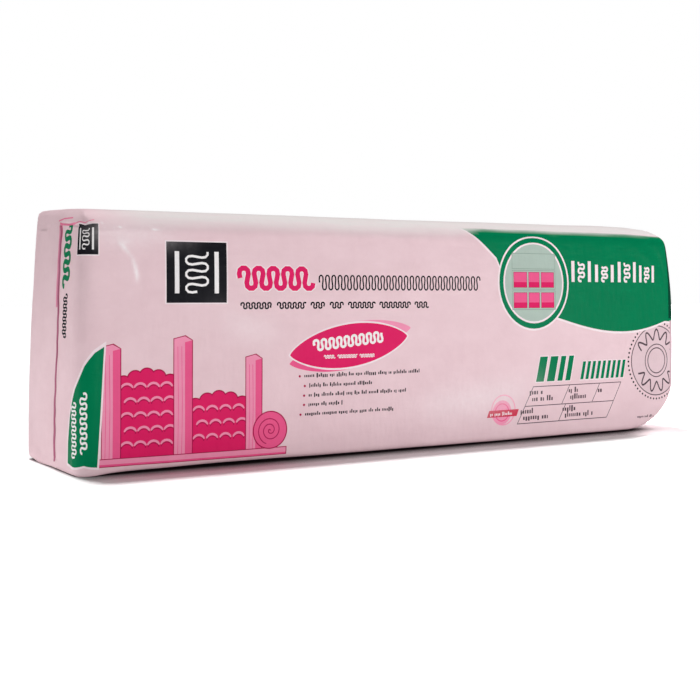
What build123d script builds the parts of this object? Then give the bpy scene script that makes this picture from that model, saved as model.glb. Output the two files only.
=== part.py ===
from build123d import *
import math
import os

# A wrapped pack of glass wool batts, resting on a long narrow side.
#
# Sixteen batts, each cut to fill one stud bay, stand on edge side by side. They are pressed to
# about a sixth of their free thickness and held that way by a polyethylene bag: a gusseted tube
# of film that is folded in and heat sealed across both ends. The pressed wool pushes the film out,
# so every face is crowned and the long edges are round. At the edges the wool is rounder than the
# film, which spans from face to face there.
#
# +X runs along the batts, +Z is up and -Y is the printed front. The origin is at the middle of
# the base, on the floor.

# Batts
batt_length = 1194.0
batt_width = 381.0
batt_count = 16
batt_pitch = 15.6
batt_gap = 0.4

# Film: its wall, and the room that it leaves round the wool
film_wall = 1.0
film_clearance = 0.3
edge_slack = 4.5

# Seal fins, one down each end, folded flat towards the front
fin_rise = 2.4
fin_width = 9.0
fin_offset = 10.0
fin_top_margin = 20.0
fin_base_margin = 9.0

# End flaps: the front and back panels, folded in over the gusset at each end
flap_thickness = 1.2
flap_half_width = 98.0
flap_top_margin = 13.0
flap_base_margin = 11.0
flap_sag = 10.0

# Crowned form of the full bag: how much narrower each side is at its ends than at its widest
front_crown = 8.0
end_crown = 2.5
front_top_belly = 6.0
front_base_belly = 5.0
left_top_belly = 12.0
left_base_belly = 1.0
right_top_belly = 27.0
right_base_belly = 3.0

# Heights where the sides are widest, as shares of the bag's height
front_waist_share = 0.45
left_waist_share = 0.15
right_waist_share = 0.45

# Round edges
long_top_radius = 33.0
long_base_radius = 19.0
left_top_radius = 16.0
left_base_radius = 9.0
right_top_radius = 45.0
right_base_radius = 110.0
left_near_radius = 27.0
left_far_radius = 10.0
right_corner_radius = 31.0

# The round base edges are pressed flat on the floor by this much
base_squash = 3.0

# A section that only trims another stands this much wide of it, so that the two cross cleanly
section_ease = 0.7

# Sizes that follow
stack_depth = batt_count * batt_pitch
film_allowance = film_wall + film_clearance
bag_length = batt_length + 2 * film_allowance
bag_height = batt_width + 2 * film_allowance
bag_depth = stack_depth + 2 * film_allowance


def plan_sketch(shrink, stretch, slack):
    """The bag from above: four crowned sides with round corners."""
    end = bag_length / 2 + section_ease + stretch - shrink
    half = bag_depth / 2 + section_ease - shrink
    corner_end = end - end_crown - slack
    corner_half = half - front_crown - slack
    with BuildSketch(Plane.XY.offset(shrink)) as plan:
        with BuildLine():
            ThreePointArc((-corner_end, -corner_half), (0, -half), (corner_end, -corner_half))
            ThreePointArc((corner_end, -corner_half), (end, 0), (corner_end, corner_half))
            ThreePointArc((corner_end, corner_half), (0, half), (-corner_end, corner_half))
            ThreePointArc((-corner_end, corner_half), (-end, 0), (-corner_end, -corner_half))
        make_face()
        left_near, left_far = plan.vertices().group_by(Axis.X)[0].sort_by(Axis.Y)
        fillet(left_near, left_near_radius + slack - shrink)
        fillet(left_far, left_far_radius + slack - shrink)
        fillet(plan.vertices().group_by(Axis.X)[-1], right_corner_radius + slack - shrink)
    return plan.sketch


def bulging_side(side, waist_share, bellies, radii, levels, shrink, slack):
    """One side of an upright section, with the round edges that it ends in.

    side is where it is widest, with the sign of the way it faces. bellies, radii and levels hold
    the top's value, then the base's. It returns where the round edges meet those two levels.
    """
    waist = waist_share * bag_height
    out = math.copysign(1, side)
    widest = side - out * shrink
    top_belly, base_belly = (belly + slack for belly in bellies)
    top_radius, base_radius = (radius + slack - shrink for radius in radii)
    top_start = (widest - out * top_belly, levels[0] - top_radius)
    base_start = (widest - out * base_belly, levels[1] + base_radius)
    top_meet = top_start[0] - out * top_radius
    base_meet = base_start[0] - out * base_radius
    top_turn, base_turn = (0, 270) if out > 0 else (90, 180)
    CenterArc((top_meet, top_start[1]), top_radius, top_turn, arc_size=90)
    TangentArc((widest, waist), top_start, tangent=(0, 1))
    TangentArc((widest, waist), base_start, tangent=(0, -1))
    CenterArc((base_meet, base_start[1]), base_radius, base_turn, arc_size=90)
    return top_meet, base_meet


def front_sketch(shrink, stretch, slack):
    """The bag from the front: a square left end and a well rounded right one."""
    top = bag_height + section_ease - shrink
    base = shrink - base_squash
    end = bag_length / 2 + stretch
    with BuildSketch(Plane.XZ) as front:
        with BuildLine():
            left_top, left_base = bulging_side(
                -end, left_waist_share, (left_top_belly, left_base_belly),
                (left_top_radius, left_base_radius), (top, base), shrink, slack)
            right_top, right_base = bulging_side(
                end, right_waist_share, (right_top_belly, right_base_belly),
                (right_top_radius, right_base_radius), (top, base), shrink, slack)
            Line((left_top, top), (right_top, top))
            Line((left_base, base), (right_base, base))
        make_face()
    return front.sketch


def end_sketch(shrink, slack):
    """The bag from one end: bellied front and back, round edges, and a top crowned by the slack."""
    top = bag_height - shrink
    base = shrink - base_squash
    profile = (front_waist_share, (front_top_belly, front_base_belly),
               (long_top_radius, long_base_radius), (top - slack, base), shrink, slack)
    with BuildSketch(Plane.YZ) as end:
        with BuildLine():
            near_top, near_base = bulging_side(-bag_depth / 2, *profile)
            far_top, far_base = bulging_side(bag_depth / 2, *profile)
            if slack > 0:
                ThreePointArc((near_top, top - slack), (0, top), (far_top, top - slack))
            else:
                Line((near_top, top), (far_top, top))
            Line((near_base, base), (far_base, base))
        make_face()
    return end.sketch


def crowned_form(shrink=0, stretch=0, slack=0):
    """The bag's full form, where its plan, front and end views meet.

    Every side is shrunk inwards, the two ends are stretched outwards, and the edges and corners
    are drawn in further by the slack.
    """
    with BuildPart() as form:
        extrude(plan_sketch(shrink, stretch, slack), amount=bag_height + section_ease)
        extrude(front_sketch(shrink, stretch, slack), amount=bag_depth, both=True,
                mode=Mode.INTERSECT)
        extrude(end_sketch(shrink, slack), amount=bag_length, both=True, mode=Mode.INTERSECT)
    return form.part


def batt_gaps():
    """The thin bowed gaps between neighbouring batts."""
    with BuildPart() as gaps:
        with BuildSketch(Plane.XY):
            for number in range(1, batt_count):
                share = 2 * number / batt_count - 1
                middle = share * stack_depth / 2
                ends = middle - share * front_crown
                with BuildLine():
                    for side in (-batt_gap / 2, batt_gap / 2):
                        if share == 0:
                            Line((-bag_length / 2, side), (bag_length / 2, side))
                        else:
                            ThreePointArc((-bag_length / 2, ends + side), (0, middle + side),
                                          (bag_length / 2, ends + side))
                    for end in (-bag_length / 2, bag_length / 2):
                        Line((end, ends - batt_gap / 2), (end, ends + batt_gap / 2))
                make_face()
        extrude(amount=bag_height)
    return gaps.part


def fin_band():
    """An upright band through the bag, as wide as the folded fins, proud of both its ends."""
    band_height = bag_height - fin_top_margin - fin_base_margin
    with BuildPart() as band:
        with BuildSketch(Plane.XZ.offset(fin_offset)):
            with Locations((0, fin_base_margin + band_height / 2)):
                Rectangle(bag_length + 2 * fin_rise, band_height)
        extrude(amount=fin_width)
    return band.part


def flap_prism():
    """The end view of the four flaps, each with a sagging fold at the top and at the base."""
    top = bag_height - flap_top_margin
    base = flap_base_margin
    near = -flap_half_width
    far = flap_half_width
    with BuildPart() as prism:
        with BuildSketch(Plane.YZ):
            with BuildLine():
                ThreePointArc((near, top), (near / 2, top - flap_sag), (0, top))
                ThreePointArc((0, top), (far / 2, top - flap_sag), (far, top))
                Line((far, top), (far, base))
                ThreePointArc((far, base), (far / 2, base + flap_sag), (0, base))
                ThreePointArc((0, base), (near / 2, base + flap_sag), (near, base))
                Line((near, base), (near, top))
            make_face()
        extrude(amount=bag_length, both=True)
    return prism.part


outer_form = crowned_form()
fin_form = crowned_form(stretch=fin_rise)
flap_form = crowned_form(stretch=flap_thickness)
wool_room = crowned_form(shrink=film_wall)
wool_block = crowned_form(shrink=film_allowance, slack=edge_slack)

with BuildPart() as fins:
    add(fin_band())
    add(fin_form, mode=Mode.INTERSECT)

with BuildPart() as flaps:
    add(flap_prism())
    add(flap_form, mode=Mode.INTERSECT)

with BuildPart() as film_bag:
    add(outer_form)
    add(flaps.part)
    add(fins.part)
    add(wool_room, mode=Mode.SUBTRACT)
film_bag.part.label = "film_bag"

with BuildPart() as batts:
    add(wool_block)
    add(batt_gaps(), mode=Mode.SUBTRACT)
batts.part.label = "batts"

os.makedirs("parts", exist_ok=True)
export_step(film_bag.part, "parts/film_bag.step")
export_step(batts.part, "parts/batts.step")
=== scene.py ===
import math

import bpy
import numpy as np
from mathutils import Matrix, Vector
from mathutils.geometry import delaunay_2d_cdt


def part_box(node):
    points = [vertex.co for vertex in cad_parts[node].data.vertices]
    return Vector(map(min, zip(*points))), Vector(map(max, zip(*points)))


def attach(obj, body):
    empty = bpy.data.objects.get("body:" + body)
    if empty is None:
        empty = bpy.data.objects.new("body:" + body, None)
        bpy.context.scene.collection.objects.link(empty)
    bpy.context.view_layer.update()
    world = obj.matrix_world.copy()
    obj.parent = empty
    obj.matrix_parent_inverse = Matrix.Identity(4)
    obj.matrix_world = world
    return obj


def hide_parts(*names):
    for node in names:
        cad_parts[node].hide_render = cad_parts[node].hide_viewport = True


# A wrapped pack of glass wool batts: one taut printed film bag round sixteen pressed batts.
# Shapes are worked out in millimetres. Sheet places are (along, up) on the bag's side film,
# unrolled from the seam in the left end past the front, the right end and the back.

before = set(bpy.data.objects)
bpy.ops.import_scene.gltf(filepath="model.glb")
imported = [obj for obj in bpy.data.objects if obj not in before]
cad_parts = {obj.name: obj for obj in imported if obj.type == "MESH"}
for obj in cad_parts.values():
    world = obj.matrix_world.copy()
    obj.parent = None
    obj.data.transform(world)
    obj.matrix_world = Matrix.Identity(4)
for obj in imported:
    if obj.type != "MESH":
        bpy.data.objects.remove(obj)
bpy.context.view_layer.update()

MM = 0.001
_, film_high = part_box("film_bag")
wool_low, wool_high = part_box("batts")

# Bag form, in the frame's own box
film_allowance = (film_high[2] - wool_high[2]) / MM
height = film_high[2] / MM
half_depth = film_high[1] / MM
half_length = wool_high[0] / MM + film_allowance

# Pressed batts: their gaps, their room in the film and over the floor, and the steps of their mesh
batt_count = 16
batt_gap = 0.4
batt_pitch = (wool_high[1] - wool_low[1]) / MM / batt_count
wool_clearance = 3.0
wool_base = 0.6
batt_steps = (36, 1, 16)

# Crowns, bellies and round edges. A pair holds the top's value, then the base's.
front_crown = 8.0
end_crown = 2.5
front_bellies = (6.0, 5.0)
left_bellies = (12.0, 1.0)
right_bellies = (27.0, 3.0)
front_waist_share = 0.45
left_waist_share = 0.15
right_waist_share = 0.45
long_radii = (33.0, 9.0)
left_radii = (11.0, 4.0)
right_radii = (50.0, 126.0)
left_near_radius = 22.0
left_far_radius = 6.0
right_corner_radius = 25.0
base_squash = 3.0
softness = 6.0

# Each bulge is an amount, the place of its middle and its width. The undercut's places are shares
# of the length, far_left_bulge's are heights, and the rest run from -1 at the left to 1.
front_undercut = 7.4
back_undercut = 6.0
undercut_reach = 60.0
undercut_bulge = (2.6, 0.22, 0.11)
undercut_dip = (6.7, 0.0, 0.035)
left_dome = (6.5, -1, 0.13)
far_left_dome = (3.0, -1, 0.06)
right_swell = (1.6, 0.68, 0.13)
top_rise = 2.2
right_fall = 40.0
far_left_bulge = (6.0, 0, 170)
left_corners = (1.0, -1, 0.1)
far_left_sharpening = (30, 9)
left_base_sharpening = 5

# Seal fins: their width, and how far each one's root is from its end's middle
fin_width = 9.0
left_fin_root = 14.0
right_fin_root = 10.0
fold_root = 11.0

# Grey-white rim of the top edge, painted reflection of the pale sky that over the green also marks where
# its print stops: its start and width in height, over the pink and then the green
rim_starts = (351, 366)
rim_widths = (22, 8)
green_from = 60
green_blend = 60
rim_from = -575
rim_blend = 90

# The box, and the mapping's core in it, which stands in from the low sides and the high ones
core_margins = ((42.0, 44.0, 30.0), (118.0, 44.0, 42.0))
box_low = np.array([-half_length, -half_depth, 0.0])
box_high = np.array([half_length, half_depth, height])
core_low = box_low + core_margins[0]
core_high = box_high - core_margins[1]

# The search for the film on the way from the box to the core: how far out it looks, and its steps
ray_limit = 1.3
halvings = 13

# Mesh of the film, and how fine a difference in millimetres still makes two points of a mesh
columns_along = 172
columns_across = 36
rows_up = 56
same_place = 0.005

# The sheet's corners, as distances along it from the left end's seam
near_left = half_depth
near_right = near_left + 2 * half_length
far_right = near_right + 2 * half_depth
far_left = far_right + 2 * half_length
around = far_left + half_depth

# The near left top corner, where the mesh is finer
fine_alongs = (4, near_left + 210)
fine_ups = (236, height - 3)
fine_step = 3.4


def linear(red, green, blue):
    """A colour as it looks on a screen, from 0 to 255, as the linear values that Blender uses."""
    def one(value):
        value /= 255
        return value / 12.92 if value <= 0.04045 else ((value + 0.055) / 1.055) ** 2.4
    return (one(red), one(green), one(blue), 1.0)


INKS = {name: linear(*levels) for name, levels in {
    "film": (236, 207, 213),
    "fold_pink": (236, 128, 162),
    "seam_pink": (240, 184, 202),
    "seam_shadow": (184, 112, 138),
    "fold_deep": (226, 142, 170),
    "keyline": (246, 230, 234),
    "green": (0, 124, 80),
    "hot_pink": (224, 32, 100),
    "mid_pink": (238, 92, 144),
    "light_pink": (244, 152, 184),
    "deep_pink": (170, 14, 72),
    "black": (22, 22, 28),
    "white": (246, 244, 244),
    "grey": (82, 66, 74),
    "red": (208, 40, 74),
    "seal_ground": (226, 200, 206),
    # A dusty pink, painted shade down the right end's corner
    "painted_shade_pink": (212, 182, 190),
    "pale_green": (176, 194, 184),
    "grey_green": (140, 160, 148),
    # A dark green, painted shade down the right end's corner
    "painted_shade_green": (0, 66, 46),
}.items()}
INK_NAMES = list(INKS)
# A grey-white painted over the top rim, partly a painted reflection of the sky
RIM_REFLECTION_COLOUR = linear(226, 219, 218)
# A near white, painted over creases and glints as painted highlights
PAINTED_HIGHLIGHT_COLOUR = linear(252, 244, 246)


# The bag's form

def side_inset(up, waist_share, bellies):
    """How far a side stands in at a height. bellies is how far at the top, then at the base."""
    share = up / height
    above = np.clip(share - waist_share, 0, None) / (1 - waist_share)
    below = np.clip(waist_share - share, 0, None) / waist_share
    return bellies[0] * above**2 + bellies[1] * below**2


def round_edge(one, other, radius):
    """How far outside two sides a place is, where they meet in a round edge."""
    one = one + radius
    other = other + radius
    outside = np.hypot(np.clip(one, 0, None), np.clip(other, 0, None))
    return np.minimum(np.maximum(one, other), 0) + outside - radius


def bulge(place, amount, middle, width):
    """A smooth rise by some amount, that fades out over a width to each side of its middle."""
    return amount * np.exp(-(((place - middle) / width) ** 2))


def undercut(along, across):
    """How far the front's and back's lower edges are lifted off the floor, most at the left."""
    share = np.clip((along + 1) / 2, 0, 1)
    front = front_undercut + bulge(share, *undercut_bulge) - bulge(share, *undercut_dip)
    lift = np.where(across < 0, front, back_undercut)
    inner = 1 - undercut_reach / half_depth
    return lift * np.clip((np.abs(across) - inner) / (1 - inner), 0, 1) ** 0.7


def top_lift(along, across):
    """How far the top film is pushed up: a dome at the left end, and a slow rise to the right."""
    dome = bulge(along, *left_dome) * np.clip(0.5 + across, -0.2, 1)
    dome = dome + bulge(along, *far_left_dome) * np.clip(2 * across - 1, 0, 1)
    rise = top_rise * np.sin(1.6 * np.clip(along + 0.1, -0.9, 0.9))
    rise = rise - right_fall * np.clip(along - 0.8, 0, 1) + bulge(along, *right_swell)
    return dome + np.where(rise < 0, rise * across**2, rise)


def sharp_form(x, y, z):
    """How far places are outside the bag, with its round edges mitred where they cross."""
    along = x / half_length
    across = y / half_depth
    face = np.abs(y) - half_depth + np.hypot(
        front_crown * along**2, side_inset(z, front_waist_share, front_bellies))
    bow = end_crown * across**2
    left = -x - half_length + np.hypot(bow, side_inset(z, left_waist_share, left_bellies))
    right = x - half_length + np.hypot(bow, side_inset(z, right_waist_share, right_bellies))
    top = z - height - top_lift(along, across)
    base = -z - base_squash + undercut(along, across)
    left = left - np.clip(across, 0, 1) * bulge(z, *far_left_bulge)
    near_left_end = bulge(along, *left_corners)
    far_left = np.clip(across, 0, 1) * near_left_end
    edges = [round_edge(face, top, long_radii[0] - far_left_sharpening[0] * far_left),
             round_edge(face, base, long_radii[1] - left_base_sharpening * near_left_end),
             round_edge(left, top, left_radii[0] - far_left_sharpening[1] * far_left),
             round_edge(left, base, left_radii[1]),
             round_edge(right, top, right_radii[0]), round_edge(right, base, right_radii[1]),
             round_edge(face, left, np.where(y < 0, left_near_radius, left_far_radius)),
             round_edge(face, right, right_corner_radius)]
    return np.max(edges, axis=0)


SOFT_STEPS = [(i, j, k) for i in (-1, 1) for j in (-1, 1) for k in (-1, 1)]


def soft_form(places):
    """The same, averaged over a small cube, which rounds the mitres and leaves flat film flat."""
    x, y, z = places.T
    reach = softness / math.sqrt(3)
    total = np.zeros(len(places))
    for i, j, k in SOFT_STEPS:
        total += sharp_form(x + i * reach, y + j * reach, z + k * reach)
    return total / len(SOFT_STEPS)


def on_bag(box_places):
    """Places on the box drawn in to the bag's surface, straight towards the box's core."""
    core = np.clip(box_places, core_low, core_high)
    ray = box_places - core
    inner = np.zeros(len(ray))
    outer = np.full(len(ray), ray_limit)
    for _ in range(halvings):
        middle = (inner + outer) / 2
        outside = soft_form(core + ray * middle[:, None]) > 0
        outer = np.where(outside, middle, outer)
        inner = np.where(outside, inner, middle)
    return core + ray * ((inner + outer) / 2)[:, None]


def inside_bag(places, gap):
    """Places in the box moved with the bag's form, at least gap inside its film."""
    core = np.clip(places, core_low, core_high)
    ray = places - core
    room = np.where(ray > 0, box_high - core_high, core_low - box_low)
    reach = np.min(room / np.maximum(np.abs(ray), 1e-6), axis=1)[:, None]
    outer = np.linalg.norm(ray, axis=1) > 1e-6
    film = on_bag(np.where(outer[:, None], core + ray * reach, box_high))
    length = np.linalg.norm(film - core, axis=1)[:, None]
    places = np.where(outer[:, None], core + (film - core) / reach * (1 - gap / length), places)
    places[:, 2] = np.clip(places[:, 2], wool_base, None)
    return places


def sheet_to_box(along, up):
    """A sheet place on the box that the bag is drawn in from."""
    stops = [0, near_left, near_right, far_right, far_left, around]
    x = np.interp(along, stops, half_length * np.array([-1, -1, 1, 1, -1, -1]))
    y = np.interp(along, stops, half_depth * np.array([0, -1, -1, 1, 1, 0]))
    return np.stack([x, y, np.asarray(up, float)], axis=1)


# Creases in the film: sheet places that each one passes, how wide it is and how far it stands out

def off_corner(corner, way, marks):
    """Marks whose places along the sheet are given as distances one way from a corner of it."""
    return [([(corner + way * along, up) for along, up in line], width, depth)
            for line, width, depth in marks]


creases = [
    ([(10, 374), (50, 368), (90, 361), (108, 362), (134, 367)], 3.2, -1.3),
    ([(8, 14), (36, 20), (60, 19)], 3.2, -0.8),
    ([(185, 338), (191, 328), (198, 321), (204, 312), (209, 299), (207, 280)], 2.6, 0.9),
    ([(188, 343), (182, 330), (178, 312), (174, 290)], 7.0, -0.5),
    ([(200, 343), (216, 322), (222, 296), (220, 262)], 8.0, -0.7),
    ([(140, 352), (165, 350), (200, 356)], 5.0, 0.5),
    ([(232, 358), (240, 353), (252, 351)], 3.0, 0.6),
    ([(262, 357), (268, 352)], 3.0, 0.5),
    ([(118, 60), (120, 120), (117, 190)], 6.0, 0.4),
]
creases += off_corner(near_right, -1, [
    ([(130, 352), (80, 330), (40, 290)], 9.0, 0.7),
    ([(150, 30), (90, 66), (50, 120)], 9.0, 0.8),
    ([(210, 20), (140, 40), (80, 76)], 7.0, -0.6),
    ([(60, 350), (30, 310), (12, 250)], 8.0, -0.6),
])
creases += off_corner(near_right, 1, [
    ([(112, 372), (60, 348), (20, 330)], 4.5, -1.5),
    ([(140, 372), (190, 348), (232, 330)], 4.5, -1.5),
    ([(112, 20), (60, 52), (20, 74)], 4.5, -1.5),
    ([(140, 20), (190, 52), (232, 74)], 4.5, -1.5),
])
creases += off_corner(far_right, 1, [
    ([(130, 352), (80, 330), (40, 290)], 9.0, 0.9),
    ([(150, 30), (90, 66), (50, 120)], 9.0, 0.9),
    ([(210, 20), (140, 40), (80, 76)], 7.0, -0.8),
])
creases += off_corner(far_left, -1, [
    ([(62, 345), (74, 300), (66, 240)], 8.0, 1.0),
    ([(150, 352), (110, 334), (40, 338)], 7.0, -0.8),
    ([(130, 22), (80, 44), (30, 96)], 8.0, 0.8),
])
creases += off_corner(around, -1, [
    ([(10, 374), (60, 364), (112, 366)], 3.2, -1.2),
    ([(8, 14), (60, 22), (112, 16)], 3.2, -1.0),
])

# Painted highlights: pale streaks for the gloss on creases, small glints at the top edge and broad paler
# patches of painted light, as sheet places, a width and a strength
painted_highlights = [
    ([(188, 334), (194, 328), (200, 321), (205, 315)], 3.2, 0.6),
    ([(208, 313), (212, 300), (215, 286), (215, 277)], 3.2, 0.75),
    ([(186, 330), (196, 334), (204, 330)], 7.0, 0.22),
    ([(160, 368), (166, 366)], 1.8, 0.8),
    ([(189, 359), (193, 358)], 1.6, 0.7),
    ([(238, 356), (242, 355), (250, 355)], 1.7, 0.8),
    ([(134, 372), (139, 366)], 2.4, 0.6),
    ([(140, 350), (200, 346), (290, 348)], 20.0, 0.3),
] + off_corner(near_left, 1, [
    ([(570, 70), (703, 78), (830, 96)], 30.0, 0.3),
    ([(215, 222), (265, 206), (320, 200)], 24.0, 0.2),
])

# Short creases across the long round edges: how far apart, and the spans that each draws its
# shift, reach, rise, width and depth from
edge_pitch = 46
edge_spans = ((-18, 18), (-26, 26), (-9, 9), (3.6, 7.0), (-0.55, 0.4))


def edge_creases(seed):
    """Creases that the taut film gathers at its long round edges."""
    random = np.random.default_rng(seed)
    marks = []
    for side_start in (near_left, far_right):
        for up in (362, 10):
            for along in np.arange(side_start + 40, side_start + 2 * half_length - 60, edge_pitch):
                shift, reach, rise, width, depth = (random.uniform(*span) for span in edge_spans)
                start = along + shift
                marks.append(([(start, up - rise), (start + reach, up + rise)], width, depth))
    return marks


creases += edge_creases(seed=11)


def crease_sum(box_places, marks):
    """How strongly each place feels bent marks, each of some points, a width and a strength."""
    total = np.zeros(len(box_places))
    for points, width, depth in marks:
        line = sheet_to_box(*np.array(points, float).T)
        low = line.min(axis=0) - 4 * width
        high = line.max(axis=0) + 4 * width
        near = np.nonzero(((box_places > low) & (box_places < high)).all(axis=1))[0]
        if not len(near):
            continue
        some = box_places[near]
        nearest = np.full(len(some), np.inf)
        fade = np.zeros(len(some))
        for number, (start, end) in enumerate(zip(line[:-1], line[1:])):
            way = end - start
            share = np.clip((some - start) @ way / (way @ way), 0, 1)
            distance = np.linalg.norm(some - start - share[:, None] * way, axis=1)
            closer = distance < nearest
            along = (number + share) / (len(line) - 1)
            nearest = np.where(closer, distance, nearest)
            fade = np.where(closer, np.sin(math.pi * np.clip(along, 0.04, 0.96)) ** 0.6, fade)
        total[near] += fade * bulge(nearest, depth, 0, width)
    return total


def swell_height(places, outward):
    """The wool's slow unevenness, and the ribs of the batts' edges at the top, base and ends."""
    x, y, z = places.T
    slow = 0.9 * np.sin(x / 71 + 1.3 * np.sin(z / 83)) * np.cos(z / 64 + 0.8 * np.sin(x / 97))
    slow += 0.5 * np.sin(x / 31 + z / 47 + 2.0) * np.sin(z / 29 - x / 53 + y / 40)
    edge_on = np.clip(1.6 * np.maximum(np.abs(outward[:, 0]), np.abs(outward[:, 2])) - 0.8, 0, 1)
    ribs = np.cos(2 * math.pi * y / batt_pitch + 0.5 * np.sin(x / 90 + z / 60))
    wander = 0.6 + 0.4 * np.sin(x / 57 + 3 * np.sin(y / 41))
    return 0.6 * slow * (1 - 0.5 * edge_on) + 0.28 * ribs * wander * edge_on


def on_film(box_places):
    """Places on the box as places on the finished film."""
    places = on_bag(box_places)
    step = 1.0
    slope = [soft_form(places + step * axis) - soft_form(places - step * axis) for axis in np.eye(3)]
    outward = np.stack(slope, axis=1)
    outward /= np.linalg.norm(outward, axis=1, keepdims=True)
    raised = crease_sum(box_places, creases) + swell_height(places, outward)
    places = places + outward * raised[:, None]
    places[:, 2] = np.clip(places[:, 2], 0, None)
    return places


def film_normals(box_places, first_ways, second_ways):
    """The film's outward directions, from four neighbours of each place."""
    reach = 1.6
    one = on_film(box_places + reach * first_ways) - on_film(box_places - reach * first_ways)
    other = on_film(box_places + reach * second_ways) - on_film(box_places - reach * second_ways)
    normals = np.cross(one, other)
    return normals / np.maximum(np.linalg.norm(normals, axis=1, keepdims=True), 1e-9)


# The print: each shape is an ink and an outline in sheet places, and a later one covers an earlier

def seam_wander(ups):
    """How far an end's seal strays along the sheet at each height."""
    lean = np.interp(ups, (0, 45, 100, 160, 215, 260, 320), (-5, -3.5, 2.5, 6.5, 7.5, 5, 1))
    return lean + 1.0 * np.sin(ups / 23) + 0.7 * np.sin(ups / 9.1 + 1) + 0.5 * np.sin(ups / 4.7 + 2)


def block(ink, left, base, right, top, slant=0.0):
    """A four-sided shape, its top moved along by slant for each millimetre of its height."""
    lean = slant * (top - base)
    return [(ink, [(left, base), (right, base), (right + lean, top), (left + lean, top)])]


def edged(ink, edge_ink, left, base, right, top, edge):
    """A block with an even border of another ink."""
    return (block(edge_ink, left - edge, base - edge, right + edge, top + edge)
            + block(ink, left, base, right, top))


def disc(ink, along, up, radius, rise=None, corners=44):
    """A round shape, or an oval one that reaches rise up and down."""
    rise = rise or radius
    turns = [2 * math.pi * corner / corners for corner in range(corners)]
    return [(ink, [(along + radius * math.cos(t), up + rise * math.sin(t)) for t in turns])]


def ring(ink, ground, along, up, radius, width):
    return disc(ink, along, up, radius) + disc(ground, along, up, radius - width)


def stroke(ink, points, width):
    """A bent line of even width."""
    line = np.array(points, float)
    way = np.gradient(line, axis=0)
    side = np.stack([-way[:, 1], way[:, 0]], axis=1)
    side *= width / 2 / np.linalg.norm(side, axis=1, keepdims=True)
    outline = np.concatenate([line + side, (line - side)[::-1]])
    return [(ink, [tuple(point) for point in outline])]


def wave(ink, start, end, rise, pitch, width):
    """A chain of fibre loops from start to end, rise to each side of the line between them."""
    way = np.array(end, float) - start
    length = np.hypot(*way)
    way /= length
    side = np.array([-way[1], way[0]])
    turns = np.arange(0, 2 * math.pi * length / pitch, 2 * math.pi / 14)
    run = turns * pitch / (2 * math.pi) - 0.16 * pitch * np.sin(2 * turns)
    points = start + np.outer(run, way) + np.outer(rise * np.sin(turns), side)
    return stroke(ink, points, width) if len(points) > 6 else []


def fibre_words(ink, left, up, right, size, random, word):
    """A line of small print, each word a run of fibre loops about that long."""
    shapes = []
    start = left
    while start < right - size:
        end = min(start + word * random.uniform(0.4, 1.5), right)
        shapes += wave(ink, (start, up + size / 2), (end, up + size / 2), size * 0.42, size * 0.86,
                       size * 0.25)
        start = end + size
    return shapes


def tick_words(ink, left, up, right, size, random):
    """A line of very small print, as uneven upright ticks."""
    shapes = []
    mark = left
    while mark < right:
        for _ in range(random.integers(2, 9)):
            tall = size * random.choice([0.6, 0.6, 0.66, 1.0])
            drop = size * random.choice([0, 0, 0, 0.2])
            wide = size * random.uniform(0.26, 0.44)
            if mark + wide < right:
                shapes += block(ink, mark, up - drop, mark + wide, up + tall)
            mark += wide + 0.2 * size
        mark += 0.5 * size
    return shapes


def front(along):
    """A distance from the near left corner along the front, as a place along the sheet."""
    return near_left + along


def stud_and_wool(ink, left, base, width, tall, line):
    """A plain picture of wool between two studs, in one ink."""
    shapes = block(ink, left, base, left + width * 0.1, base + tall)
    shapes += block(ink, left + width * 0.9, base, left + width, base + tall)
    middle = left + width / 2
    return shapes + wave(ink, (middle, base + tall * 0.04), (middle, base + tall * 0.97), width * 0.25,
                         tall / 3, line)


def dark_square():
    shapes = edged("black", "keyline", front(134), 246, front(230), 336, 2)
    return shapes + stud_and_wool("white", front(147), 260, 70, 62, 3.6)


def headings(random):
    """Bold and fine chains of fibre loops in place of the headings."""
    bold = ((front(252), 283), (front(377), 283), 15.5, 25)
    shapes = wave("keyline", *bold, 12) + wave("hot_pink", *bold, 8.4)
    shapes += wave("black", (front(390), 277), (front(706), 277), 11.5, 11.5, 2.6)
    return shapes + fibre_words("black", front(254), 236, front(598), 10.5, random, 44)


def lozenge(random):
    """A hot pink pennant with pale loops in it."""
    middle = front(446)
    shapes = []
    for ink, shift, rise, long, thick in (("light_pink", 12, 14, 104, 24), ("mid_pink", -14, -15, 96, 24),
                                          ("keyline", 0, 0, 112, 37), ("hot_pink", 0, 0, 109, 34)):
        turns = np.linspace(0, 2 * math.pi, 60, endpoint=False)
        outline = []
        for turn in turns:
            along = long * math.cos(turn)
            up = thick * math.copysign(abs(math.sin(turn)) ** 1.5, math.sin(turn))
            outline.append((middle + shift + along - 0.1 * up, 177 + rise + up + 0.12 * along))
        shapes.append((ink, outline))
    shapes += wave("white", (middle - 66, 178), (middle + 62, 190), 8.0, 14, 4.4)
    return shapes + fibre_words("white", middle - 48, 157, middle + 56, 5.6, random, 30)


def bullet_lines(random):
    shapes = []
    for up, left, right in ((129, 362, 584), (113.5, 371, 490), (98.5, 370, 556), (84, 370, 432),
                            (69, 364, 532)):
        shapes += disc("deep_pink", front(left - 8), up + 1.8, 2.0, corners=10)
        shapes += tick_words("black", front(left), up, front(right), 6.0, random)
    return shapes


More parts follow.
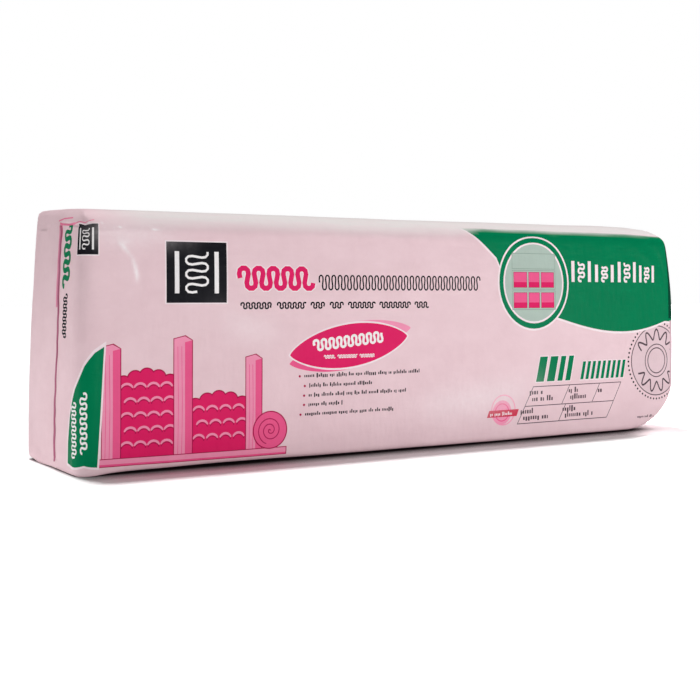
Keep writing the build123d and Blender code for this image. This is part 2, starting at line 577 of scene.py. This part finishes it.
def upright_stud(left, right, base, top):
    """A stud seen a little from its side, with a cut top."""
    lean = (right - left) * 0.4
    shapes = [("deep_pink", [(left - 1.4, base), (right + 1.4, base), (right + 1.4, top - 5),
                             (right - lean + 1, top + 2.4), (left - 1.4, top - 2)]),
              ("light_pink", [(left, base), (right, base), (right, top - 5.5),
                              (right - lean, top + 0.8), (left, top - 3)]),
              ("mid_pink", [(right - lean, base), (right, base), (right, top - 5.5),
                            (right - lean, top - 8)])]
    for share in (0.2, 0.42):
        along = left + share * (right - left)
        shapes += stroke("mid_pink", [(along, base + 6), (along + 0.8, (base + top) / 2),
                                      (along, top - 14)], 0.9)
    return shapes


def wool_roll(along, up, radius):
    """The end of a roll of wool."""
    shapes = disc("deep_pink", along, up, radius + 1.8) + disc("mid_pink", along, up, radius)
    for ink, share, wide in (("light_pink", 0.0, 3.0), ("deep_pink", 0.09, 1.4)):
        turns = np.linspace(0.4, 5.4 * math.pi, 110)
        reach = (radius - 5) * (turns / turns[-1]) - share * radius * 0.6
        outline = [(along + r * math.cos(a), up + r * math.sin(a)) for r, a in zip(reach, turns)]
        shapes += stroke(ink, outline, wide)
    return shapes


def wool_bank(left, right, top):
    """A bank of wool between studs: a scalloped top and scalloped rows of tufts below it."""
    shapes = []
    base = 14
    width = right - left
    for ink, grow in (("deep_pink", 1.8), ("hot_pink", 0.0)):
        shapes += block(ink, left - 3, base, right + 3, top - 12)
        for share, rise in ((0.08, -6), (0.29, 1), (0.5, 4), (0.71, 1), (0.92, -6)):
            shapes += disc(ink, left + share * width, top - 14 + rise, width * 0.13 + grow)
    for row, up in enumerate(np.arange(top - 30, base + 8, -21.0)):
        for tuft in range(4):
            along = left + width * (0.14 + 0.24 * tuft + 0.06 * (row % 2))
            arc = [(along + 8.5 * math.cos(a), up + 7 * math.sin(a)) for a in np.linspace(0.1, 3.0, 9)]
            shapes += stroke("light_pink", [(x, y + 3) for x, y in arc], 3.4)
            shapes += stroke("deep_pink", arc, 1.4)
    return shapes


def wool_picture():
    """A stud wall being filled with pink wool, in flat tones with fine outlines."""
    shapes = wool_bank(front(62), front(146), 150) + wool_bank(front(172), front(262), 112)
    for left, right, top in ((36, 64, 186), (146, 174, 196), (262, 288, 166)):
        shapes += upright_stud(front(left), front(right), 12, top)
    shapes += edged("light_pink", "deep_pink", front(31.5), 9.5, front(330.5), 21.5, 1.5)
    shapes += block("mid_pink", front(31.5), 9.5, front(330.5), 13)
    return shapes + wool_roll(front(303), 50, 28)


def green_corner():
    """The green field at the right, which runs on round the end as far as its seam, with painted shade in
    pink and in deep green along the end's round corner.
    """
    end = near_right + half_depth - 14
    crest = [(front(874 + step), 219 - 30 * math.sin(math.pi * min(step / 345, 1.2)))
             for step in range(0, 301, 15)]
    rest = [(near_right + reach, 206 + 0.1 * reach) for reach in (0, 30, 70, end - near_right)]
    outline = [(front(674), height), (front(690), 368), (front(744), 322), (front(792), 226)]
    outline += crest + rest + [(end, height)]
    edge = [(along - (number < 4), up - 4) for number, (along, up) in enumerate(outline[:-1])]
    shapes = [("keyline", edge + [(end, height), (front(672), height)]), ("green", outline)]
    # Painted shade: a dusty pink strip down the right end's round corner, below the green
    shapes += block("painted_shade_pink", near_right - 2, 70, near_right + 14, 208)
    # Painted shade: a dark green strip down the same corner, over the green
    return shapes + block("painted_shade_green", near_right - 8, 212, near_right + 14, 356)


def round_window():
    """A round window onto a stud wall with pink wool in its bays."""
    along, up = front(828), 279
    shapes = disc("keyline", along, up, 82, 85) + disc("green", along, up, 78.5, 81.5)
    shapes += disc("keyline", along, up, 69.5, 72) + disc("pale_green", along, up, 66, 68.5)
    for base, top in ((-44, -18), (-8, 18), (28, 48)):
        shapes += edged("pale_green", "grey_green", along - 49, up + base - 3, along + 49, up + top + 3, 1)
        for left, right in ((-46, -17), (-12, 12), (17, 46)):
            if base < 28:
                bay = (along + left, up + base, along + right)
                shapes += edged("mid_pink", "deep_pink", *bay, up + top, 0.8)
                shapes += block("hot_pink", *bay, up + base + 9)
    return shapes


def pale_words():
    """Pale studs with wool between them, on the green."""
    shapes = []
    for start, tall in ((917, 38), (975, 32), (1033, 38), (1091, 32)):
        left = front(start)
        shapes += block("keyline", left, 281, left + 7.5, 281 + tall)
        shapes += block("keyline", left + 40, 281, left + 47.5, 281 + tall)
        shapes += wave("keyline", (left + 24, 283), (left + 24, 279 + tall), 7.0, tall / 2.6, 4.2)
    return shapes


def value_line():
    """Slanted green bars in place of the big figures, and a smaller row after them."""
    shapes = []
    for start, width in ((832, 18), (857, 18), (882, 12), (901, 12)):
        shapes += block("keyline", front(start) - 1.8, 101.5, front(start) + width + 1.8, 149, 0.22)
        shapes += block("green", front(start), 103, front(start) + width, 147.5, 0.22)
    for step in range(9):
        start = front(938 + 12.6 * step)
        shapes += block("keyline", start - 1.6, 101.5, start + 9.2, 137.5, 0.22)
        shapes += block("green", start, 103.4, start + 7.4, 136, 0.22)
    return shapes


def size_table(random):
    """A slanted grid of thin lines with small print in its cells."""
    left, base, right, top, lean = front(790), 30, front(1004), 94, 0.55
    line = 1.4
    shapes = []
    for up in (base, 60, top):
        shift = lean * (up - base)
        shapes += block("grey", left + shift, up, right + shift + line, up + line, lean)
    for along, low, high in ((left, base, top), (right, base, top), (left + 96, base, 60),
                             (left + 86, 60, top), (left + 160, 60, top)):
        shift = lean * (low - base)
        shapes += block("grey", along + shift, low, along + shift + line, high, lean)
    for start, up, reach in ((8, 48, 30), (14, 37, 60), (106, 48, 34), (112, 37, 70), (28, 81, 34),
                             (34, 69, 52), (120, 81, 26), (124, 69, 44), (192, 78, 16)):
        shapes += tick_words("grey", left + start, up, left + start + reach, 9.5, random)
    return shapes


def round_badge(random):
    """Fine pale rings under a red band."""
    along, up = front(756), 53
    shapes = ring("light_pink", "film", along + 3, up + 4, 27, 2) + disc("light_pink", along, up, 21)
    shapes += ring("mid_pink", "light_pink", along, up, 16, 2)
    shapes += block("red", along - 33, up - 8, along + 33, up + 4, 0.4)
    return shapes + tick_words("keyline", along - 26, up - 5, along + 28, 6.0, random)


def round_seal():
    """Thin rings with a dotted rim and a band of fibre loops."""
    along, up, wide = front(1146), 132, 1.17
    shapes = []
    for turn in range(56):
        angle = 2 * math.pi * turn / 56
        shapes += disc("black", along + 73 * wide * math.cos(angle), up + 73 * math.sin(angle), 2.3, 2.0,
                       corners=8)
    for radius, line in ((67, 1.8), (32, 1.8), (25, 2.0)):
        shapes += disc("grey", along, up, radius * wide, radius)
        shapes += disc("seal_ground", along, up, (radius - line) * wide, radius - line)
    for start in (0.14, 1.14):
        turns = np.linspace(start * math.pi, (start + 0.72) * math.pi, 150)
        reach = 50 + 9.5 * np.sin(turns * 13)
        outline = [(along + wide * r * math.cos(a), up + r * math.sin(a)) for r, a in zip(reach, turns)]
        shapes += stroke("grey", outline, 3.4)
    return shapes


def end_print():
    """The print on the near half of the left end, which runs down it."""
    shapes = wave("green", (54, 363), (54, 272), 13.5, 23, 8.0)
    shapes += wave("black", (56, 258), (56, 196), 8.5, 9.4, 3.2)
    shapes += edged("black", "keyline", 101, 315, 156, 365, 2)
    shapes += stud_and_wool("white", 108, 322, 40, 35, 2.2)
    leaf = [(75, 16), (100, 12), (154, 9), (166, 184), (150, 176), (128, 156), (104, 124), (86, 86),
            (77, 46)]
    rim = [(71, 13), (98, 8.5), (157, 5), (169.5, 192), (148, 180), (125, 159), (101, 127),
           (82.5, 87), (73, 46)]
    shapes += [("keyline", rim), ("green", leaf)]
    shapes += wave("white", (126, 118), (126, 34), 8.0, 14, 3.6)
    return shapes + wave("white", (100, 104), (100, 26), 6.5, 11, 3.0)


def fold_lines():
    """The film's own deeper pink, where folds and the seal lay it several times thick, darkened in part as
    painted shade in the folds' grooves and beside the seal's fin.
    """
    ups = np.arange(368, 238, -4.0)
    root = fold_root + seam_wander(ups)
    shapes = stroke("seam_pink", list(zip(root + 6, ups)), 15.0)
    shapes += stroke("fold_deep", list(zip(root, ups)), 8.0)
    shapes += stroke("fold_pink", [(a + 9 + 3 * math.sin(u / 9), u) for a, u in zip(root, ups)][:9], 2.4)
    for points, width in (([(9, 372), (20, 369), (50, 366), (80, 366.5)], 4.4),
                          ([(80, 366.5), (105, 369), (126, 371), (148, 375)], 2.4),
                          ([(4, 377), (30, 380), (70, 379)], 3.0)):
        shapes += stroke("fold_pink", points, width)
    return shapes


def printed_shapes():
    random = np.random.default_rng(23)
    shapes = dark_square() + headings(random) + lozenge(random) + bullet_lines(random)
    shapes += wool_picture() + round_seal() + green_corner() + round_window() + pale_words()
    shapes += value_line() + size_table(random) + round_badge(random) + end_print()
    shapes += fold_lines()
    return shapes + tick_words("grey", front(1086), 24, front(1140), 5.5, random)


# The film mesh

def grid(one, other):
    """Every pair of a value of one and a value of the other, in the order of one."""
    return np.stack(np.meshgrid(one, other, indexing="ij"), axis=2).reshape(-1, 2)


def grid_quads(columns, rows, first, flipped):
    """Faces between the points of a grid, which are numbered on from first."""
    faces = []
    for i, j in np.ndindex(columns, rows):
        corner = first + i * (rows + 1) + j
        quad = [corner, corner + rows + 1, corner + rows + 2, corner + 1]
        faces.append(quad[::-1] if flipped else quad)
    return faces


def sheet_grid():
    """Grid points of the side film, whose columns meet those of the top and base."""
    half = np.linspace(0, half_depth, columns_across // 2 + 1)
    whole = np.linspace(0, 2 * half_depth, columns_across + 1)
    long = np.linspace(0, 2 * half_length, columns_along + 1)
    along = np.concatenate([half, near_left + long[1:], near_right + whole[1:],
                            far_right + long[1:], far_left + half[1:]])
    up = np.linspace(0, height, rows_up + 1)
    fine = grid(np.arange(*fine_alongs, fine_step), np.arange(*fine_ups, fine_step))
    return np.concatenate([grid(along, up), fine])


def finely(outline):
    """The same outline with no step over 9 mm, or over 4 mm near the sheet's corners."""
    points = []
    for (along, up), (next_along, next_up) in zip(outline, outline[1:] + outline[:1]):
        middle = (along + next_along) / 2
        reach = abs(next_along - along) / 2 + 50
        bent = min(abs(middle - corner) for corner in (near_left, near_right)) < reach
        steps = math.ceil(math.hypot(next_along - along, next_up - up) / (4 if bent else 9))
        for step in range(max(steps, 1)):
            share = step / max(steps, 1)
            points.append((along + share * (next_along - along), up + share * (next_up - up)))
    return points


def printed_sheet():
    """Triangles of the side film, cut along the print's outlines, and the ink of each."""
    points = [Vector(point) for point in sheet_grid()]
    faces = []
    inks = []
    for ink, outline in printed_shapes():
        outline = finely(list(outline))
        along, up = np.array(outline).T
        if along @ np.roll(up, -1) < up @ np.roll(along, -1):
            outline = outline[::-1]
        faces.append(list(range(len(points), len(points) + len(outline))))
        points += [Vector(point) for point in outline]
        inks.append(INK_NAMES.index(ink))
    places, _, triangles, _, _, sources = delaunay_2d_cdt(points, [], faces, 0, 1e-3, True)
    places = np.array([tuple(place) for place in places])
    ink_of = [inks[max(source)] if source else 0 for source in sources]
    return places, [list(triangle) for triangle in triangles], ink_of


def panel_places(up):
    """Grid points of the top or the base film, on the box."""
    places = grid(np.linspace(-half_length, half_length, columns_along + 1),
                  np.linspace(-half_depth, half_depth, columns_across + 1))
    return np.column_stack([places, np.full(len(places), up)])


def merged(places, faces):
    """Joins places that are the same: which are kept, every place's new number, and the faces."""
    keys = np.round(places / same_place).astype(np.int64)
    _, kept, number = np.unique(keys, axis=0, return_index=True, return_inverse=True)
    number = number.ravel()
    return kept, number, [[int(number[corner]) for corner in face] for face in faces]


def add_mesh(name, places, faces, smooth=False):
    """A new object in the scene, with its mesh's points in millimetres."""
    mesh = bpy.data.meshes.new(name)
    mesh.from_pydata((places * MM).tolist(), [], faces)
    mesh.polygons.foreach_set("use_smooth", [smooth] * len(faces))
    mesh.update()
    piece = bpy.data.objects.new(name, mesh)
    bpy.context.scene.collection.objects.link(piece)
    return piece


def film_bag_piece():
    """The whole bag as one closed mesh, with the normals of its true surface."""
    sheet, triangles, ink_of = printed_sheet()
    side = sheet_to_box(*sheet.T)
    step = 0.5
    ahead = np.where(sheet[:, 0] + step < around, step, -step)
    way = (sheet_to_box(sheet[:, 0] + ahead, sheet[:, 1]) - side) / ahead[:, None]
    top = panel_places(height)
    box_places = np.concatenate([side, top, panel_places(0.0)])
    x_way, y_way, z_way = np.eye(3)
    panel = np.ones((len(top), 1))
    first = np.concatenate([way, panel * x_way, panel * y_way])
    second = np.concatenate([np.ones((len(side), 1)) * z_way, panel * y_way, panel * x_way])
    places = on_film(box_places)
    normals = film_normals(box_places, first, second)
    faces = triangles + grid_quads(columns_along, columns_across, len(side), False)
    faces += grid_quads(columns_along, columns_across, len(side) + len(top), True)
    inks = ink_of + [0] * (len(faces) - len(triangles))
    faces, inks, kept, normals = joined(faces, inks, normals, box_places)
    places = places[kept]
    # Masks for the painted highlights and for the grey top rim, which is partly painted reflection
    marks = np.clip(crease_sum(box_places[kept], painted_highlights), 0, 1)
    piece = add_mesh("printed_film_bag", places, faces, smooth=True)
    piece.data.polygons.foreach_set("material_index", inks)
    for name, values in (("painted_highlights", marks), ("rim_and_reflection", rim_share(places))):
        piece.data.attributes.new(name, "FLOAT", "POINT").data.foreach_set("value", values)
    piece.data.update()
    piece.data.normals_split_custom_set_from_vertices(normals.tolist())
    return piece


def rim_share(places):
    """How grey-white the film is along the top edge: a painted reflection of the pale sky, which over the
    green also stands for the top of its print.
    """
    x, _, z = places.T
    over_green = np.clip((x - green_from) / green_blend, 0, 1)
    start, width = (pink + (green - pink) * over_green for pink, green in (rim_starts, rim_widths))
    start = start + 0.8 * np.sin(x / 61) + 0.5 * np.sin(x / 17.3 + 1)
    return np.clip((z - start) / width, 0, 1) * np.clip((x - rim_from) / rim_blend, 0, 1)


def joined(faces, inks, normals, box_places):
    """The same mesh with the points that share a place on the box made one."""
    kept, number, faces = merged(box_places, faces)
    total = np.zeros((len(kept), 3))
    np.add.at(total, number, normals)
    total /= np.linalg.norm(total, axis=1, keepdims=True)
    whole = [len(set(face)) == len(face) for face in faces]
    faces = [face for face, good in zip(faces, whole) if good]
    inks = [ink for ink, good in zip(inks, whole) if good]
    return faces, inks, kept, total


def seal_fin_piece(name, root, direction):
    """The sealed fin of an end: a thin strip that is folded flat onto the end's front half."""
    rows = 110
    ups = np.linspace(11, height - 17, rows)
    width = fin_width * (0.85 + 0.12 * np.sin(ups / 31 + 0.5) + 0.06 * np.sin(ups / 6.1))
    width = width * np.clip(np.minimum(ups - 5, height - 11 - ups) / 12, 0.35, 1)
    lift = 0.55 + 0.35 * np.sin(ups / 14 + 2)
    rise_at = ((0.14, -0.9), (0.2, 0.8), (0.34, 1.3), (0.64, 1.2), (0.94, 0.8 + lift), (1.0, lift),
               (0.96, -0.9))
    places = []
    for share, rise in rise_at:
        along = root + direction * (seam_wander(ups) + share * width)
        foot = on_film(sheet_to_box(along, ups))
        out = math.copysign(1, foot[0, 0])
        places.append(foot + np.outer(out * rise * np.ones(rows), (1, 0, 0)))
    faces = []
    for strip in range(len(rise_at)):
        other = (strip + 1) % len(rise_at)
        for row in range(rows - 1):
            faces.append([strip * rows + row, strip * rows + row + 1,
                          other * rows + row + 1, other * rows + row])
    for row in (0, rows - 1):
        faces.append([strip * rows + row for strip in range(len(rise_at))])
    return add_mesh(name, np.concatenate(places), faces, smooth=True)


def pressed_batts_piece():
    """The pressed batts, on edge side by side, which the bag's form bends and rounds."""
    places = np.empty((0, 3))
    faces = []
    for number in range(batt_count):
        low = box_low + np.array([0, 2 * half_depth * number / batt_count + batt_gap / 2, 0])
        high = np.array([half_length, low[1] + 2 * half_depth / batt_count - batt_gap, height])
        stops = [np.linspace(*ends, steps + 1) for *ends, steps in zip(low, high, batt_steps)]
        for axis in range(3):
            one, other = [a for a in range(3) if a != axis]
            for side in (low, high):
                faces += grid_quads(batt_steps[one], batt_steps[other], len(places),
                                    (side is high) == (axis == 1))
                panel = np.insert(grid(stops[one], stops[other]), axis, side[axis], axis=1)
                places = np.concatenate([places, panel])
    kept, _, faces = merged(places, faces)
    return add_mesh("pressed_batts", inside_bag(places[kept], wool_clearance), faces)


# Materials

cloud_shade = (0.95, 0.93, 0.935)
deep_wool = linear(214, 120, 146)
pale_wool = linear(246, 190, 204)


def feed(tree, node, values):
    """Sets some of a shader node's inputs, each to a plain value or to another node's output."""
    for key, value in values.items():
        if isinstance(value, (int, float, tuple)):
            node.inputs[key].default_value = value
        else:
            tree.links.new(value, node.inputs[key])


def shader_node(tree, kind, output, inputs=None, **settings):
    """One output of a new shader node, which has these inputs and settings."""
    node = tree.nodes.new(kind)
    for name, value in settings.items():
        setattr(node, name, value)
    feed(tree, node, inputs or {})
    return node.outputs[output]


def noise(tree, place, scale, detail=2.0, roughness=0.5):
    return shader_node(tree, "ShaderNodeTexNoise", "Fac", {
        "Vector": place, "Scale": scale, "Detail": detail, "Roughness": roughness})


def stretched(tree, place, scale, turn=(0, 0, 0)):
    return shader_node(tree, "ShaderNodeMapping", "Vector", {
        "Vector": place, "Scale": scale, "Rotation": turn})


def math_node(tree, kind, *values):
    return shader_node(tree, "ShaderNodeMath", "Value", dict(enumerate(values)), operation=kind)


def eased(tree, value, first, last, low=0.0, high=1.0):
    """A value between first and last as one that goes smoothly from low to high."""
    ends = dict(enumerate((value, first, last, low, high)))
    return shader_node(tree, "ShaderNodeMapRange", "Result", ends, interpolation_type="SMOOTHSTEP")


def blend_colour(tree, mask, first, second):
    """A mix of two colours, each a socket or a plain colour, by a mask."""
    colours = {"Factor": mask, 6: first, 7: second}
    return shader_node(tree, "ShaderNodeMix", 2, colours, data_type="RGBA")


def ramp(tree, value, *stops):
    """A colour that follows a value between two stops, each a position and a colour."""
    node = tree.nodes.new("ShaderNodeValToRGB")
    for element, (position, color) in zip(node.color_ramp.elements, stops):
        element.position = position
        element.color = color
    feed(tree, node, {"Fac": value})
    return node.outputs["Color"]


def bumped(tree, raised, strength, distance):
    """The surface's normals over a height."""
    return shader_node(tree, "ShaderNodeBump", "Normal", {
        "Strength": strength, "Distance": distance, "Height": raised})


def new_material(name):
    """A new material, its node tree and its shader."""
    material = bpy.data.materials.new(name)
    material.use_nodes = True
    return material, material.node_tree, material.node_tree.nodes["Principled BSDF"]


def film_finish_group():
    """Crinkles of taut film as a height, and masks of its clouds, of its painted highlights and of its
    grey top rim, which is partly painted reflection.
    """
    group = bpy.data.node_groups.new("film_finish", "ShaderNodeTree")
    place = shader_node(group, "ShaderNodeTexCoord", "Object")
    pale = shader_node(group, "ShaderNodeAttribute", "Fac", attribute_name="painted_highlights")
    bare = shader_node(group, "ShaderNodeAttribute", "Fac", attribute_name="rim_and_reflection")
    long_crinkle = noise(group, stretched(group, place, (7, 9, 26), (0, 0.5, 0)), 4.0, 3)
    cross_crinkle = noise(group, stretched(group, place, (24, 14, 8), (0, -0.4, 0)), 4.0, 3)
    crinkles = math_node(group, "MULTIPLY_ADD", long_crinkle, 0.8, cross_crinkle)
    broken = math_node(group, "ADD", noise(group, place, 160.0), 0.5)
    streaks = noise(group, stretched(group, place, (5, 40, 40)), 3.0, 4, 0.6)
    values = {
        "Height": math_node(group, "MULTIPLY_ADD", noise(group, place, 420.0), 0.05, crinkles),
        "Cloud": noise(group, stretched(group, place, (1, 1, 1.4)), 16.0, 5, 0.62),
        "Pale": math_node(group, "MULTIPLY", pale, broken),
        "Rim_and_reflection": math_node(group, "MULTIPLY", bare, math_node(group, "ADD", streaks, 0.45)),
    }
    for name in values:
        group.interface.new_socket(name, in_out="OUTPUT", socket_type="NodeSocketFloat")
    feed(group, group.nodes.new("NodeGroupOutput"), values)
    return group


def film_material(name, color, finish):
    """Printed polyethylene: one ink, cloudy by a little, with a soft gloss over fine crinkles, blended
    towards grey-white on the top rim as partly painted reflection and towards near white in painted
    highlights.
    """
    material, tree, shader = new_material(name)
    effect = tree.nodes.new("ShaderNodeGroup")
    effect.node_tree = finish
    cloudy = tuple(channel * shade for channel, shade in zip(color, cloud_shade)) + (1.0,)
    tint = ramp(tree, effect.outputs["Cloud"], (0.34, cloudy), (0.66, color))
    # Painted reflection on the grey top rim, then painted highlights on creases and glints
    tint = blend_colour(tree, effect.outputs["Rim_and_reflection"], tint, RIM_REFLECTION_COLOUR)
    tint = blend_colour(tree, effect.outputs["Pale"], tint, PAINTED_HIGHLIGHT_COLOUR)
    normal = bumped(tree, effect.outputs["Height"], strength=0.22, distance=0.004)
    feed(tree, shader, {"Base Color": tint, "Normal": normal, "Roughness": 0.34,
                        "Specular IOR Level": 0.02})
    return material


def glass_wool_material():
    """Pink spun glass wool: fine tangled fibres with pale and deep flecks."""
    material, tree, shader = new_material("glass_wool")
    place = shader_node(tree, "ShaderNodeTexCoord", "Object")
    fibres = noise(tree, stretched(tree, place, (30, 120, 30)), 9.0, 8, 0.7)
    tint = ramp(tree, fibres, (0.35, deep_wool), (0.68, pale_wool))
    normal = bumped(tree, fibres, strength=0.7, distance=0.002)
    feed(tree, shader, {"Base Color": tint, "Normal": normal, "Roughness": 0.95})
    return material


# Surroundings, in metres apart from the floor's size

floor_size = 40000.0
floor_grey = (0.76, 0.76, 0.76, 1)
floor_white = (1.1, 1.1, 1.1, 1)

# Painted contact shadow, a thin dark line in the floor's colour at the pack's foot: its reach, and two
# spans of X with its depth at their ends
painted_contact_shadow = (0.02, 0.016, 0.018, 1)
contact_reach = 0.045
contact_start = (-0.61, -0.575, 0.0, 2.2)
contact_fade = (0.44, 0.57, 1.0, 0.15)

# Painted light on the floor past the right end, which whitens away the pack's cast shadow there: where it
# starts, on a line across the floor
painted_light_white = (3.4, 3.4, 3.4, 1)
open_slant = 0.61
open_start = (0.51, 0.60)

# The photo's camera, its lens and horizon in the photo's pixels
camera_place = (-1.113, -1.698, 0.259)
camera_azimuth = -31.4
photo_size = 700
photo_focal = 1153
photo_horizon = 294


def add_floor():
    """A pale floor, plain white to the camera, with a deep thin shadow painted where the pack touches it,
    and painted light that whitens the pack's cast shadow past its right end.
    """
    half = floor_size / 2
    corners = np.array([(-half, -half, 0), (half, -half, 0), (half, half, 0), (-half, half, 0)])
    floor = add_mesh("studio_floor", corners, [(0, 1, 2, 3)])
    material, tree, shader = new_material("studio_floor")
    place = shader_node(tree, "ShaderNodeTexCoord", "Object")
    along, across = (shader_node(tree, "ShaderNodeSeparateXYZ", axis, {0: place}) for axis in "XY")
    contact = shader_node(tree, "ShaderNodeAmbientOcclusion", "AO", {"Distance": contact_reach},
                          samples=8)
    # Painted contact shadow: ambient occlusion darkens the floor's colour at the pack's foot, off past the
    # left end and weaker towards the right
    amount = math_node(tree, "MULTIPLY", eased(tree, along, *contact_start),
                       eased(tree, along, *contact_fade))
    depth = math_node(tree, "POWER", contact, amount)
    # Painted light: the floor's colour rises past the right end and whitens the pack's cast shadow there
    slanted = math_node(tree, "MULTIPLY_ADD", across, -open_slant, along)
    white = blend_colour(tree, eased(tree, slanted, *open_start), floor_white, painted_light_white)
    pale = blend_colour(tree, depth, painted_contact_shadow, white)
    seen = shader_node(tree, "ShaderNodeLightPath", "Is Camera Ray")
    feed(tree, shader, {"Base Color": blend_colour(tree, seen, floor_grey, pale), "Roughness": 0.9,
                        "Specular IOR Level": 0.0})
    floor.data.materials.append(material)


def add_world(strength):
    """An even pale sky, plain white to the camera."""
    world = bpy.data.worlds.new("studio")
    bpy.context.scene.world = world
    world.use_nodes = True
    tree = world.node_tree
    seen = shader_node(tree, "ShaderNodeLightPath", "Is Camera Ray")
    level = shader_node(tree, "ShaderNodeMix", "Result", {"Factor": seen, "A": strength, "B": 1.0},
                        data_type="FLOAT")
    feed(tree, tree.nodes["Background"], {"Color": (1, 1, 1, 1), "Strength": level})


def add_lamp(name, kind, direction, strength, place=(0, 0, 0), **settings):
    """A new light that shines in a direction."""
    light = bpy.data.lights.new(name, kind)
    light.energy = strength
    for key, value in settings.items():
        setattr(light, key, value)
    lamp = bpy.data.objects.new(name, light)
    lamp.location = place
    lamp.rotation_euler = Vector(direction).to_track_quat("-Z", "Y").to_euler()
    bpy.context.scene.collection.objects.link(lamp)


def add_softbox(name, place, target, size, strength):
    add_lamp(name, "AREA", Vector(target) - Vector(place), strength, place, shape="RECTANGLE",
             size=size[0], size_y=size[1])


def add_camera():
    camera = bpy.data.cameras.new("photo_camera")
    camera.sensor_width = 36
    camera.lens = camera.sensor_width * photo_focal / photo_size
    camera.shift_y = (photo_horizon - photo_size / 2) / photo_size
    holder = bpy.data.objects.new("photo_camera", camera)
    holder.location = camera_place
    holder.rotation_euler = (math.pi / 2, 0, math.radians(camera_azimuth))
    bpy.context.scene.collection.objects.link(holder)
    bpy.context.scene.camera = holder


add_camera()

film_finish = film_finish_group()
ink_materials = [film_material(f"film_{name}", color, film_finish) for name, color in INKS.items()]

film_bag = film_bag_piece()
for material in ink_materials:
    film_bag.data.materials.append(material)
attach(film_bag, "root")
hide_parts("film_bag")

for name, root, direction in (("left_seal_fin", left_fin_root, 1),
                              ("right_seal_fin", near_right + half_depth - right_fin_root, -1)):
    fin = seal_fin_piece(name, root, direction)
    fin.data.materials.append(ink_materials[INK_NAMES.index("seam_shadow")])
    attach(fin, "root")

pressed_batts = pressed_batts_piece()
pressed_batts.data.materials.append(glass_wool_material())
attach(pressed_batts, "root")
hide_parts("batts")

add_floor()
add_world(strength=0.17)
add_lamp("overhead_key", "SUN", (0.0, -0.22, -1.0), strength=2.6, angle=math.radians(6))
add_softbox("front_fill", (1.6, -3.2, 0.18), (0.1, 0, 0.15), size=(2.6, 0.32), strength=69)
add_softbox("end_fill", (-1.07, 0.0, 0.06), (-0.6, 0, 0.06), size=(0.4, 0.08), strength=0.99)

bpy.context.scene.view_settings.view_transform = "Standard"
